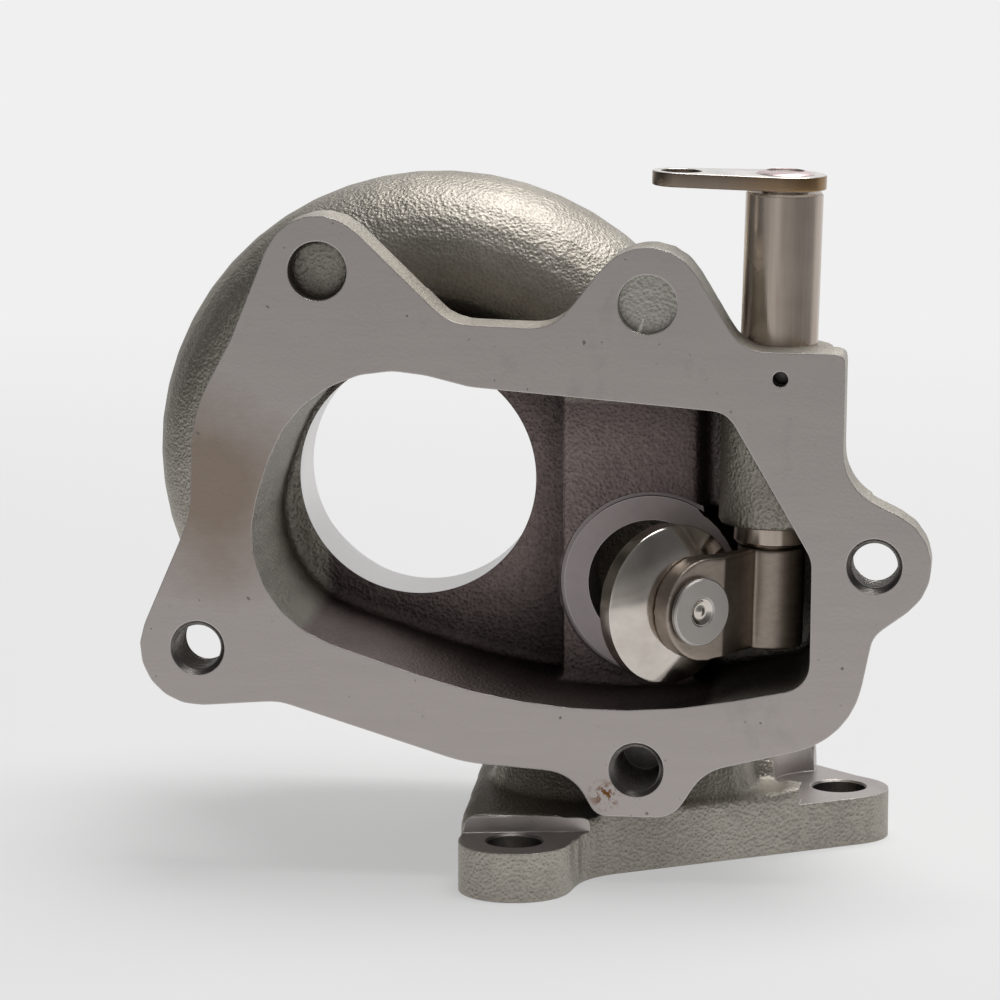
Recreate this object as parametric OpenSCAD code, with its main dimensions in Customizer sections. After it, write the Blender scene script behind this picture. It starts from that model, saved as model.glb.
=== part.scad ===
// Turbine housing with an internal wastegate, millimetres, +Z up.
// The turbine axis runs along Y. The viewer looks along +Y at the outlet face.
// Origin: on the turbine axis, in the plane of the outlet chamber's floor.

/* [Outlet face] */
// Depth of the outlet chamber, from its floor to the machined face
chamber_depth = 33; // [28:0.5:40]
// Thickness of the outlet flange plate
plate_t = 12; // [9:0.5:16]
// Thickness of the wall round the outlet chamber
chamber_wall = 5; // [4:0.5:6]
// How much the chamber narrows on each side from mouth to floor
chamber_draft = 0.8; // [0:0.1:1.5]
// Radius of the upper left lug of the outlet flange
lug_r_a = 10.7; // [9:0.1:12]
// Radius of the upper middle lug
lug_r_b = 11; // [9.5:0.1:12]
// Radius of the right lug
lug_r_c = 10.9; // [9:0.1:11.1]
// Radius of the lower left lug
lug_r_d = 11.4; // [9:0.1:13]
// Bore of the tapped lug holes, M10 minor diameter
tap_d = 8.8; // [8:0.1:10]
// Rim diameter of the chamfer on a tapped hole
tap_rim_d = 10.8; // [10.2:0.1:12]
// Diameter of the two blind pockets in the upper lugs
pocket_d = 11.6; // [9:0.1:13]
// Depth of the upper left pocket
pocket_a_depth = 5; // [2:0.5:8]
// Depth of the upper middle pocket
pocket_b_depth = 2; // [1:0.5:8]
// Depth of the tapped hole in the bottom lug
blind_tap_depth = 20; // [14:0.5:24]
// How much thinner the right lug is, spot-faced from behind
lug_relief = 2.5; // [0:0.5:4]

/* [Turbine] */
// Bore that the turbine wheel's exducer runs in
exducer_d = 47.6; // [44:0.1:50]
// Length of the exducer bore
exducer_l = 16.3; // [12:0.1:18]
// Inducer bore of the wheel cavity
inducer_d = 58; // [56:0.5:60]
// Start of the nozzle slot behind the chamber floor
nozzle_y = 20; // [19.5:0.5:21]
// Width of the nozzle slot that feeds the wheel
nozzle_w = 8; // [6:0.5:9]
// Depth of the whole housing behind the chamber floor
back_y = 52; // [51:0.5:56]
// Bore that centres the bearing housing
register_d = 76; // [72:0.5:78]
// Depth of that bore
register_depth = 5; // [3:0.5:6]
// Outer diameter of the clamp flange on the bearing side
clamp_d = 92; // [88:0.5:96]
// Width of the clamp flange
clamp_w = 7.5; // [6:0.5:8]

/* [Scroll] */
// Radius from the turbine axis to the centre of the scroll at its start
scroll_rc_start = 46; // [44.5:0.1:46.5]
// The same radius where the scroll ends
scroll_rc_end = 41; // [40:0.1:42]
// Half height of the scroll section at its start, outside
scroll_a_start = 19.4; // [18.5:0.1:20.5]
// The same half height at the end of the scroll
scroll_a_end = 12.7; // [12:0.1:13.5]
// Half width of the scroll section along the turbine axis at its start
scroll_b_start = 20.5; // [19:0.5:21]
// The same half width at the end of the scroll
scroll_b_end = 11; // [10:0.5:13]
// Distance of the scroll's middle plane behind the chamber floor
scroll_y = 23.5; // [23:0.5:24.5]
// Angle that the scroll sweeps round the turbine axis
scroll_sweep = 301; // [290:1:306]
// Wall thickness of the cast scroll and neck
scroll_wall = 4.5; // [3.5:0.1:5]

/* [Inlet flange] */
// Height of the turbine axis over the inlet flange's underside
axis_height = 74; // [72:0.5:78]
// Thickness of the inlet flange
inlet_t = 12.4; // [11:0.1:14]
// Thickness left under the bolt seats
inlet_seat_t = 9.6; // [8:0.1:10.5]
// Diameter of the bolt holes
inlet_hole_d = 10.8; // [9:0.1:12]
// Radius of the lug round each bolt hole
inlet_lug_r = 11; // [9.5:0.1:12]
// Radius of the flat seat cut round each bolt hole
inlet_seat_r = 12.4; // [11:0.1:13]
// Radius of the larger seat at the right bolt hole, cut into the neck's foot
inlet_seat_wide_r = 14; // [12.5:0.1:15]
// Distance from the port's centre to each bolt hole
inlet_bolt_r = 44.8; // [42:0.1:47]
// Diameter of the gas port in the inlet flange
inlet_port_d = 38; // [34:0.5:39]
// Distance of the port's centre to the right of the turbine axis
inlet_x = 41; // [39:0.5:43]
// Distance of the port's centre behind the chamber floor
inlet_y = 2; // [0:0.5:4]

/* [Wastegate] */
// Distance of the wastegate shaft in front of the chamber floor
shaft_y = 16.5; // [16:0.1:17]
// Distance of the shaft to the right of the turbine axis, at its height
shaft_x = 72.2; // [71.5:0.1:73]
// Lean of the shaft to the right, in degrees
shaft_lean = 1.5; // [0:0.1:2]
// Diameter of the wastegate shaft
shaft_d = 9; // [8:0.1:10]
// Radial running clearance of the shaft in its bushing
shaft_clear = 0.03; // [0.02:0.01:0.1]
// Outer diameter of the bushing
bushing_d = 15; // [14:0.1:16]
// Length of the bushing
bushing_l = 68.6; // [60:0.1:72]
// Height of the bushing's lower end, below the turbine axis
bushing_drop = 8.8; // [8:0.1:9.5]
// Radius of the cast boss round the bushing
boss_r = 10.6; // [9.6:0.1:11]
// Top of that boss over the turbine axis
boss_top = 30.3; // [28:0.1:31]
// Lower end of that boss, below the turbine axis
boss_drop = 5; // [2:0.1:6]
// Diameter of the pin that locks the bushing
pin_d = 3; // [2:0.1:3.5]
// Height of the pin over the turbine axis
pin_z = 25.6; // [23:0.1:26.5]
// Sideways distance of the pin from the shaft's centre line
pin_offset = 1.4; // [0:0.1:2]
// Centre of the wastegate port to the right of the turbine axis
port_x = 48.3; // [47.5:0.1:49]
// Centre of the wastegate port below the turbine axis
port_drop = 18.5; // [18:0.1:19]
// Bore of the wastegate port
port_d = 25.4; // [22:0.1:27]
// Outer diameter of the machined valve seat
seat_d = 35; // [33:0.5:36]
// Height of the valve seat over the chamber floor
seat_y = 12; // [11.5:0.1:12]
// How far the cast pad round the seat stands over the seat
pad_step = 0.15; // [0.1:0.05:0.5]
// Width of the groove round the seat
seat_groove = 0.8; // [0.4:0.1:1.2]
// Left edge of that cast pad
pad_left = 30.4; // [28:0.1:30.6]
// Right edge of that cast pad
pad_right = 56.8; // [54:0.1:58]
// Angle by which the valve stands open in the drawn position
open_angle = 43; // [20:1:46]

/* [Valve and arm] */
// Diameter of the valve disc
disc_d = 31; // [29:0.1:32]
// Thickness of the valve disc's rim
disc_t = 3.9; // [3:0.1:4.2]
// Height of the cone behind that rim
cone_h = 2.4; // [1.5:0.1:3]
// Diameter of the valve's stem in the arm
stem_d = 7; // [6:0.1:8]
// Diameter of the stem's end in the washer
stem_end_d = 5.2; // [4:0.1:5.6]
// Thickness of the arm where it holds the valve
arm_t = 4.2; // [3:0.1:4.4]
// Radius of the eye that holds the valve
eye_r = 10; // [9:0.1:10.4]
// Distance of the eye's centre from the stem, toward the shaft
eye_shift = 2.7; // [0:0.1:3]
// Radius of the arm's hub round the shaft
hub_r = 6.6; // [6:0.1:7]
// Height of the hub
hub_l = 19.6; // [16:0.1:20]
// Gap between the bushing and the hub, so that the shaft turns freely
end_play = 0.6; // [0.3:0.1:0.8]
// Free play of the valve on the arm, along the stem
valve_play = 0.3; // [0.2:0.05:0.5]
// Gap left between the closed valve and its seat
seat_clear = 0.3; // [0.1:0.05:0.4]
// Diameter of the washer that holds the valve
washer_d = 13.2; // [11:0.1:15]
// Thickness of that washer
washer_t = 1.4; // [1:0.1:2]

/* [Crank lever] */
// Distance between the lever's two hole centres
lever_l = 20; // [16:0.5:30]
// Thickness of the lever plate
lever_t = 2.8; // [2:0.1:4]
// Radius of the lever's end on the shaft
lever_hub_r = 8; // [7:0.1:9]
// Radius of the lever's free end
lever_end_r = 5.6; // [5:0.1:7]
// Diameter of the hole for the actuator rod's pin
lever_hole_d = 7.8; // [6:0.1:8]
// Direction of the lever, in degrees round the shaft from +X
lever_dir = 184; // [170:1:200]
// Diameter of the shaft's end inside the lever
tenon_d = 7.4; // [6:0.1:7.6]
// Height of the weld bead on the lever
weld_h = 0.7; // [0.4:0.1:1.2]

/* [Hidden] */
$fn = 72;
eps = 0.5;
lug_e_boss_r = 8;

// Lug centres of the outlet flange, as [right, up]
lug_a = [-14.8, 45];
lug_b = [48.8, 39.5];
lug_c = [92.6, -10.2];
lug_d = [-38.9, -29.3];
lug_e = [47.1, -51.3];

// Circles that the outlet flange's edge wraps, clockwise as [right, up, radius].
// A negative radius is a hollow fillet outside the flange.
plate_belt = [
    [lug_a[0], lug_a[1], lug_r_a], [15, 45, -10], [26.5, 43.6, -9],
    [lug_b[0], lug_b[1], lug_r_b], [71.5, 38.8, -8.1], [85, 29, 1.6], [97, 11.5, -10.6],
    [lug_c[0], lug_c[1], lug_r_c], [97, -26.7, -5], [74, -30.5, 16.8], [66.5, -60, -10],
    [lug_e[0] + 3.9, lug_e[1] - 3.3, 6], [lug_e[0] - 5.9, lug_e[1] - 6, 3.3], [29, -61, -9.2],
    [19, -21, 30], [-24.3, -51.6, -12], [lug_d[0], lug_d[1], lug_r_d], [-60, 1, -20],
    [-9.5, 9, 30.2], [-39.8, 35, -8.8]];

// The mouth of the outlet chamber in the same way, its upper left arc round the turbine axis
mouth_belt = [
    [0, 0, exducer_d / 2 + 2.1], [16, 31, -8], [61, 14, 5.3], [75.6, -10.5, 5],
    [74.8, -29.6, 5.7], [42, 80, 119.6], [-5.5, -6.5, 22.6]];

// Inlet bolt hole directions from the port's centre, in degrees
inlet_bolt_angles = [-112, 15.5, 117];
inlet_bolts = [for (a = inlet_bolt_angles) [inlet_x, inlet_y] + inlet_bolt_r * [cos(a), sin(a)]];
inlet_top = inlet_t - axis_height;
seat_top = inlet_seat_t - axis_height;
inlet_belt = [
    [inlet_bolts[0][0], inlet_bolts[0][1], inlet_lug_r], [inlet_bolts[2][0], inlet_bolts[2][1], inlet_lug_r],
    [45, 64, -20], [66, 36.5, 6], [inlet_bolts[1][0], inlet_bolts[1][1] - 0.9, inlet_lug_r - 0.8],
    [50.6, -38.4, -15]];

// The right bolt seat is milled out to the flange's edge beyond this line
seat_step = [[76.6, -12], [79, 40], [102, 40], [102, -12]];
seat_heights = [10, 22, 13];

// The neck's foot, flared to the right, as [right, back, half width, half depth, height over the underside]
neck_foot_rings = [
    [55, 21, 31, 17, inlet_t - 2], [55, 21, 30, 16.5, inlet_t + 2], [55, 21, 25, 15, inlet_t + 5.5],
    [54, 21, 20, 13.5, inlet_t + 11.5], [51, 21, 16, 12, inlet_t + 20]];

face_y = -chamber_depth;
plate_back = face_y + plate_t;
floor_t = 6;
port_cast_r = inlet_port_d / 2 - 0.6;
gas_points = 24;
core_r = exducer_d / 2 + 5.5;
cavity_r = core_r + 1.2;
slot_r = cavity_r + 4;
nozzle_end = nozzle_y + nozzle_w;
shield_r = inducer_d / 2 + 2;
lip_r = shield_r + 3;
pin_top_y = -shaft_y - bushing_d / 2 - 4;
pin_end_y = -shaft_y - bushing_d / 2 + 2;
bushing_top = bushing_l - bushing_drop;
hub_top = -bushing_drop - end_play;
lever_bottom = bushing_top + end_play;
lever_top = lever_bottom + lever_t;

// The valve's centre seen from the shaft, so that it closes in line with the port
valve_reach = (shaft_x - port_x) * cos(shaft_lean) - port_drop * sin(shaft_lean);
valve_drop = port_drop * cos(shaft_lean) + (shaft_x - port_x) * sin(shaft_lean);
seat_gap = shaft_y - seat_y;
arm_back = seat_clear + disc_t + cone_h + valve_play - seat_gap;
arm_front = arm_back + arm_t;
washer_at = disc_t + cone_h + 2 * valve_play + arm_t;
stem_end = washer_at + washer_t;
disc_edge = 0.4;
stem_clear = 0.1;
seat_groove_depth = 1.2;

// Section of the arm from the eye, dropping to the hub, as [toward the shaft, outward]
arm_section = [
    [-eye_r, arm_back], [8.5, arm_back], [valve_reach - hub_r - 0.7, 0.2], [valve_reach - hub_r - 0.7, -1.5],
    [valve_reach, -1.5], [valve_reach, 2.5], [valve_reach - hub_r + 0.5, 2.5], [hub_r, arm_front],
    [-eye_r, arm_front]];
clocking_r = (clamp_d + register_d) / 4;
clocking_d = 4;
clocking_depth = 6;
pin_at = [shaft_x + pin_z * sin(shaft_lean) + pin_offset, pin_z];

// Points on a belt round circles, walked clockwise
function wrap(a) = a - 360 * floor(a / 360);
function heading(p, q) =
    let (d = [q[0] - p[0], q[1] - p[1]])
    atan2(d[1], d[0]) + asin((q[2] - p[2]) / norm(d));
function belt(c, steps = 6) = [
    for (i = [0:len(c) - 1])
        let (n = len(c), p = c[i], a0 = heading(c[(i + n - 1) % n], p), a1 = heading(p, c[(i + 1) % n]),
             turn = p[2] > 0 ? -wrap(a0 - a1) : wrap(a1 - a0))
        for (k = [0:steps])
            let (a = a0 + turn * k / steps)
            [p[0] - p[2] * sin(a), p[1] + p[2] * cos(a)]];
function grow(c, by) = [for (p = c) [p[0], p[1], p[2] + by]];

// A plate standing across the turbine axis, from y0 back to y1
module across(y0, y1) {
    translate([0, y1, 0])
        rotate([90, 0, 0])
            linear_extrude(y1 - y0)
                children();
}

// A round bar or hole along Y, centred at [right, up]
module along_y(at, d, y0, y1) {
    translate([at[0], y0, at[1]])
        rotate([-90, 0, 0])
            cylinder(d = d, h = y1 - y0);
}

// Closed skin over a list of rings with equal numbers of points
module skin(rings) {
    n = len(rings[0]);
    m = len(rings);
    polyhedron(
        points = [for (r = rings) each r],
        faces = [
            [for (i = [n - 1:-1:0]) i],
            for (j = [0:m - 2])
                for (i = [0:n - 1])
                    each [[j * n + i, j * n + (i + 1) % n, (j + 1) * n + i],
                          [j * n + (i + 1) % n, (j + 1) * n + (i + 1) % n, (j + 1) * n + i]],
            [for (i = [0:n - 1]) (m - 1) * n + i]]);
}

function mix(a, b, t) = a + (b - a) * t;
function scroll_rc(t) = mix(scroll_rc_start, scroll_rc_end, sqrt(t));
function scroll_a(t) = mix(scroll_a_start, scroll_a_end, sqrt(t));
function scroll_b(t) = mix(scroll_b_start, scroll_b_end, pow(t, 1.2));

// One ring of the scroll at t from 0 to 1, its inner side kept off the turbine axis
function scroll_ring(t, wall, inner_r, n) =
    let (a = scroll_sweep * t)
    [for (i = [0:n - 1])
        let (q = -360 * i / n,
             y = scroll_y + (scroll_b(t) - wall) * sin(q),
             keep_r = inner_r == 0 ? 0 : y > nozzle_end ? lip_r : inner_r,
             r = max(keep_r, scroll_rc(t) + (scroll_a(t) - wall) * cos(q)))
        [r * cos(a), y, r * sin(a)]];

// One ring of the neck at t from 0 at the inlet flange to 1 at the scroll
neck_foot_a = 27.5;
neck_foot_b = 22;
function neck_ring(t, a0, b0, wall, inner_r, z0, n) =
    let (lean = sin(90 * t), flare = pow(1 - t, 2.2))
    [for (i = [0:n - 1])
        let (q = -360 * i / n,
             x = mix(inlet_x, scroll_rc(0), t) + mix(scroll_a(0) - wall, a0, flare) * cos(q))
        [mix(x, max(inner_r, x), t),
         mix(inlet_y, scroll_y, lean) + mix(scroll_b(0) - wall, b0, flare) * sin(q),
         mix(z0, 0, t)]];

module gas_path(a0, b0, wall, inner_r, z0, t_end) {
    neck_steps = 8;
    scroll_steps = 42;
    skin([
        for (j = [0:neck_steps - 1]) neck_ring(j / neck_steps, a0, b0, wall, inner_r, z0, gas_points),
        for (j = [0:scroll_steps]) scroll_ring(t_end * j / scroll_steps, wall, inner_r, gas_points)]);
}

module neck_foot() {
    skin([
        for (f = neck_foot_rings) [
            for (i = [0:gas_points - 1])
                let (q = -360 * i / gas_points)
                [f[0] + f[2] * cos(q), f[1] + f[3] * sin(q), f[4] - axis_height]]]);
}

// Solid of revolution about the turbine axis, from a [radius, y] outline
module turned(outline) {
    rotate([-90, 0, 0])
        rotate_extrude($fn = 96)
            polygon(outline);
}

// Everything on the shaft is drawn in the shaft's own frame, Z along its centre line
module on_shaft() {
    translate([shaft_x, -shaft_y, 0])
        rotate([0, shaft_lean, 0])
            children();
}

// The valve's frame on the shaft: swung open, X to the left along the arm, -Y out of the valve
module on_arm() {
    on_shaft()
        rotate([0, 0, open_angle])
            translate([-valve_reach, 0, -valve_drop])
                children();
}

module outlet_plate() {
    across(face_y, plate_back)
        polygon(belt(plate_belt));
}

module chamber_shell() {
    across(plate_back - eps, floor_t)
        polygon(belt(grow(mouth_belt, chamber_wall)));
}

// The chamber's hollow: drafted walls that run into the floor with a rounded corner
module chamber_space() {
    corner_r = 1.2;
    skin([
        for (a = [0:30:90])
            mouth_ring(-corner_r * (1 - cos(a)), -chamber_draft - corner_r * (1 - sin(a))),
        mouth_ring(face_y, 0), mouth_ring(face_y - 1, 0)]);
}
function mouth_ring(y, by) = [for (p = belt(grow(mouth_belt, by))) [p[0], y, p[1]]];

// The raised cast pad round the wastegate port, with the seat's round boss
module port_pad() {
    intersection() {
        across(-seat_y - pad_step, floor_t / 2)
            polygon(belt(grow(mouth_belt, 1)));
        translate([pad_left, -chamber_depth, -60])
            cube([pad_right - pad_left, chamber_depth + floor_t, 120]);
    }
    along_y([port_x, -port_drop], seat_d - 0.6, -seat_y - pad_step, floor_t);
}

module bushing_boss() {
    on_shaft()
        translate([0, 0, -boss_drop])
            cylinder(r = boss_r, h = boss_top + boss_drop);
}

// The turned core round the turbine bore, and the clamp flange on the bearing side
module turbine_core() {
    turned([
        [0, -1], [core_r, -1], [core_r, nozzle_y], [register_d / 2, scroll_y + 12],
        [register_d / 2 + 3.5, back_y - clamp_w - 1], [clamp_d / 2 - 1, back_y - clamp_w + 1.5],
        [clamp_d / 2, back_y - clamp_w + 2.5], [clamp_d / 2, back_y - 3], [clamp_d / 2 - 2, back_y],
        [0, back_y]]);
}

module turbine_space() {
    turned([
        [0, -2], [exducer_d / 2, -2], [exducer_d / 2, exducer_l], [exducer_d / 2 + 1.6, exducer_l + 2.5],
        [inducer_d / 2, nozzle_y + eps], [inducer_d / 2, nozzle_end - eps], [shield_r, nozzle_end - eps],
        [shield_r, back_y - register_depth], [register_d / 2, back_y - register_depth],
        [register_d / 2, back_y - 1], [register_d / 2 + 1, back_y + 1], [0, back_y + 1]]);
}

// The slot through which the scroll feeds the wheel, left by the core
module nozzle_slot() {
    turned([
        [inducer_d / 2 - 2, nozzle_y], [slot_r, nozzle_y], [slot_r, nozzle_end],
        [inducer_d / 2 - 2, nozzle_end]]);
}

module inlet_flange() {
    translate([0, 0, -axis_height])
        linear_extrude(inlet_t)
            polygon(belt(inlet_belt));
}

module tapped_hole(at, depth) {
    translate([at[0], face_y, at[1]])
        rotate([-90, 0, 0])
            rotate_extrude()
                polygon([
                    [0, -1], [tap_rim_d / 2 + 1, -1], [tap_d / 2, (tap_rim_d - tap_d) / 2],
                    [tap_d / 2, depth], [0, depth]]);
}

// The casting as it leaves the mould, before any machining
// Joined at its own size first, so that the machining is cut from one closed body
module rough_casting() {
    resize([0, 0, 0])
        difference() {
            union() {
                difference() {
                    union() {
                        outlet_plate();
                        chamber_shell();
                        inlet_flange();
                        gas_path(neck_foot_a, neck_foot_b, 0, 0, inlet_top - 2, 1);
                        neck_foot();
                        turbine_core();
                    }
                    chamber_space();
                }
                port_pad();
                bushing_boss();
                along_y(lug_e, 2 * lug_e_boss_r, plate_back - eps, face_y + blind_tap_depth + 4);
            }
            gas_path(port_cast_r, port_cast_r, scroll_wall, cavity_r, inlet_top - 3, 0.97);
            nozzle_slot();
            along_y(lug_a, pocket_d, face_y - 1, face_y + pocket_a_depth);
            along_y(lug_b, pocket_d, face_y - 1, face_y + pocket_b_depth);
        }
}

// The valve seat, faced flat inside a narrow groove
module seat_cut() {
    groove_r = seat_d / 2 + seat_groove;
    translate([port_x, -seat_y, -port_drop])
        rotate([-90, 0, 0])
            rotate_extrude()
                polygon([
                    [0, -chamber_depth], [groove_r, -chamber_depth], [groove_r, seat_groove_depth],
                    [seat_d / 2, seat_groove_depth], [seat_d / 2, 0], [0, 0]]);
}

module inlet_bolt_cut(i) {
    b = inlet_bolts[i];
    translate([b[0], b[1], -axis_height - 1])
        cylinder(d = inlet_hole_d, h = inlet_t + 2);
    translate([0, 0, seat_top])
        linear_extrude(seat_heights[i])
            union() {
                translate([b[0], b[1]])
                    circle(r = i == 1 ? inlet_seat_wide_r : inlet_seat_r);
                if (i == 1)
                    polygon(seat_step);
            }
}

module housing_casting() {
    color("#8a837e")
        difference() {
            rough_casting();
            turbine_space();
            translate([inlet_x, inlet_y, -axis_height - 1])
                cylinder(d = inlet_port_d, h = inlet_t);
            along_y([port_x, -port_drop], port_d, -chamber_depth, scroll_y - 10);
            seat_cut();
            for (i = [0:2])
                inlet_bolt_cut(i);
            tapped_hole(lug_c, plate_t + 1);
            tapped_hole(lug_d, plate_t + 1);
            tapped_hole(lug_e, blind_tap_depth);
            along_y([lug_c[0] + 1, lug_c[1]], 2 * lug_r_c + 3, plate_back - lug_relief, plate_back + 4);
            along_y(pin_at, pin_d, face_y - 1, -shaft_y);
            on_shaft()
                translate([0, 0, -bushing_drop - 1])
                    cylinder(d = bushing_d, h = boss_top + bushing_drop + 4);
            along_y([0, clocking_r], clocking_d, back_y - clocking_depth, back_y + 1);
        }
}

module shaft_bushing() {
    color("#8d8378")
        difference() {
            on_shaft()
                translate([0, 0, -bushing_drop])
                    difference() {
                        cylinder(d = bushing_d, h = bushing_l);
                        translate([0, 0, -1])
                            cylinder(d = shaft_d + 2 * shaft_clear, h = bushing_l + 2);
                    }
            along_y(pin_at, pin_d, face_y - 1, pin_end_y);
        }
}

module bushing_pin() {
    color("#6f6a66")
        along_y(pin_at, pin_d, pin_top_y, pin_end_y);
}

module wastegate_shaft() {
    color("#857d74")
        on_shaft() {
            translate([0, 0, hub_top - hub_l])
                cylinder(d = shaft_d, h = lever_bottom - hub_top + hub_l);
            translate([0, 0, lever_bottom - 0.01])
                cylinder(d = tenon_d, h = lever_t + weld_h * 0.6);
        }
}

module swing_arm() {
    color("#7d746a")
        difference() {
            union() {
                on_shaft()
                    translate([0, 0, hub_top - hub_l])
                        cylinder(r = hub_r, h = hub_l);
                on_arm()
                    intersection() {
                        translate([0, 0, -hub_l])
                            linear_extrude(2 * hub_l)
                                polygon([for (p = arm_section) [p[0], -p[1]]]);
                        rotate([90, 0, 0])
                            translate([0, 0, -hub_l])
                                linear_extrude(2 * hub_l)
                                    union() {
                                        translate([eye_shift, 0])
                                            circle(r = eye_r);
                                        polygon([
                                            [eye_shift, -eye_r + 0.3], [valve_reach + 0.1, -hub_l / 2],
                                            [valve_reach + 0.1, hub_l / 2], [eye_shift, eye_r - 0.1]]);
                                    }
                    }
            }
            on_shaft()
                translate([0, 0, hub_top - hub_l - 1])
                    cylinder(d = shaft_d, h = hub_l + 2);
            on_arm()
                rotate([90, 0, 0])
                    translate([0, 0, arm_back - 2])
                        cylinder(d = stem_d + 2 * stem_clear, h = arm_t + 4);
        }
}

module valve_disc() {
    color("#a39a8c")
        on_arm()
            rotate([90, 0, 0])
                translate([0, 0, seat_clear - seat_gap])
                    rotate_extrude()
                        polygon([
                            [0, 0], [disc_d / 2 - disc_edge, 0], [disc_d / 2, disc_edge],
                            [disc_d / 2, disc_t - disc_edge], [disc_d / 2 - disc_edge, disc_t],
                            [disc_d / 4 + disc_edge, disc_t + cone_h], [stem_d / 2, disc_t + cone_h],
                            [stem_d / 2, washer_at], [stem_end_d / 2, washer_at],
                            [stem_end_d / 2, stem_end], [0, stem_end]]);
}

module valve_washer() {
    color("#b1aaa2")
        on_arm()
            rotate([90, 0, 0])
                translate([0, 0, arm_front + valve_play])
                    difference() {
                        cylinder(d = washer_d, h = washer_t);
                        translate([0, 0, -1])
                            cylinder(d = stem_end_d, h = washer_t + 2);
                    }
}

module crank_lever() {
    color("#8c8780")
        on_shaft()
            translate([0, 0, lever_bottom])
                rotate([0, 0, lever_dir])
                    difference() {
                        linear_extrude(lever_t)
                            polygon(belt([[0, 0, lever_hub_r], [lever_l, 0, lever_end_r]], 24));
                        translate([0, 0, -1])
                            cylinder(d = tenon_d, h = lever_t + 2);
                        translate([lever_l, 0, -1])
                            cylinder(d = lever_hole_d, h = lever_t + 2);
                    }
}

module lever_weld() {
    color("#8f7a70")
        on_shaft()
            translate([0, 0, lever_top])
                rotate_extrude()
                    polygon([[tenon_d / 2, 0], [tenon_d / 2 + 2, 0], [tenon_d / 2 + 1.4, weld_h * 0.5],
                             [tenon_d / 2, weld_h]]);
}

module clocking_pin() {
    color("#77726e")
        along_y([0, clocking_r], clocking_d, back_y - clocking_depth, back_y + 2.5);
}

housing_casting();
shaft_bushing();
bushing_pin();
wastegate_shaft();
swing_arm();
valve_disc();
valve_washer();
crank_lever();
lever_weld();
clocking_pin();
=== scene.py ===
import math
import bpy
import bmesh
from mathutils import Matrix, Vector


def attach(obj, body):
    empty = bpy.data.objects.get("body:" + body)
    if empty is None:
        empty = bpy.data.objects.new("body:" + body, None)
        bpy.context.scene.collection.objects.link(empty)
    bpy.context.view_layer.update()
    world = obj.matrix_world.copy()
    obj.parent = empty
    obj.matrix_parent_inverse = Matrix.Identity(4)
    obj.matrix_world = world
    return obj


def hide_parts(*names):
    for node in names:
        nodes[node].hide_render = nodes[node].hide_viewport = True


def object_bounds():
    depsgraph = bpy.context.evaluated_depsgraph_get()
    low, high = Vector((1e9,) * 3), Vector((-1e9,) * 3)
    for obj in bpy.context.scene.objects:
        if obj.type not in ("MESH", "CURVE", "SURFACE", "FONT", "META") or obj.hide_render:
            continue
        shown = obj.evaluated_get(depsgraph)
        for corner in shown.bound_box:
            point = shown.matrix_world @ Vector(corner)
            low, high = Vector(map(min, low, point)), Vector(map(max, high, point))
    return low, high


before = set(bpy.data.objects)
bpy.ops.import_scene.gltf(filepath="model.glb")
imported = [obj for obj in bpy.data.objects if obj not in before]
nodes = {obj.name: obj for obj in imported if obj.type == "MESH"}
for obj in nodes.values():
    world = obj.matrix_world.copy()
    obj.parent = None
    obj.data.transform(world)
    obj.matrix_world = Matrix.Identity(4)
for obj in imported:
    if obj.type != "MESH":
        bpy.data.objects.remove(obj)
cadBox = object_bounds()
mm = 0.001
print("frame loaded")


class Value:
    # wraps one socket, so that masks can be written as plain expressions
    def __init__(self, finish, socket):
        self.finish = finish
        self.socket = socket

    def maths(self, operation, other, swapped=False, clamp=False):
        pair = (other, self) if swapped else (self, other)
        return self.finish.node("Math", {"operation": operation, "use_clamp": clamp}, *pair)

    def __add__(self, other): return self.maths("ADD", other)
    def __radd__(self, other): return self.maths("ADD", other, True)
    def __sub__(self, other): return self.maths("SUBTRACT", other)
    def __rsub__(self, other): return self.maths("SUBTRACT", other, True)
    def __mul__(self, other): return self.maths("MULTIPLY", other)
    def __rmul__(self, other): return self.maths("MULTIPLY", other, True)
    def __truediv__(self, other): return self.maths("DIVIDE", other)
    def clamped(self): return self.maths("ADD", 0.0, clamp=True)


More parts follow.
